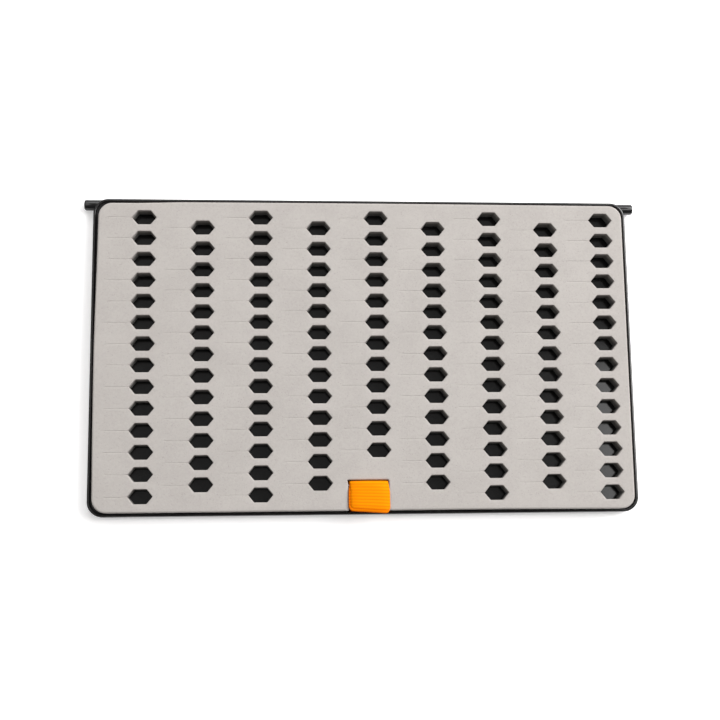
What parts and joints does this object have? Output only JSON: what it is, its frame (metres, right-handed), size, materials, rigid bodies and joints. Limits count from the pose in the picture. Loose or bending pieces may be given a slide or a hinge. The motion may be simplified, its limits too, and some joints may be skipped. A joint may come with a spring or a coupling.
{
  "type": "jig box leaf",
  "caption": "Thin black moulded leaf on two corner pins, with a bonded grey foam pad of six-sided pockets with hook slits, and a folded orange ribbon tab to lift it by.",
  "frame": {"origin": "centre of the whole leaf's outline, on the plane of the tray's back, which the leaf lies on", "axes": "+X along the leaf's length, to the right as the pad is read with the tab towards the user; +Y from the lifting edge with the tab to the hinge edge with the pins; +Z out of the pad's face"},
  "size_m": [0.1862, 0.1054, 0.0097],
  "materials": {
    "black_plastic": "moulded, semi-gloss, fine tool texture",
    "grey_foam": "matte closed-cell foam with a fine grain",
    "clear_adhesive": "thin double-sided adhesive film",
    "orange_ribbon": "woven ribbed ribbon"
  },
  "bodies": {
    "leaf": {"leaf_tray": "black_plastic", "pad_adhesive": "clear_adhesive", "foam_pad": "grey_foam", "tab_tail": "orange_ribbon", "tab_adhesive": "clear_adhesive"},
    "tab": {"tab_loop": "orange_ribbon"}
  },
  "joints": [
    {"name": "tab_lift", "type": "hinge", "parent": "leaf", "child": "tab", "pos_m": [0.0002, -0.04254, 0.0091], "axis": [-1, 0, 0], "range_deg": [0, 170]}
  ]
}
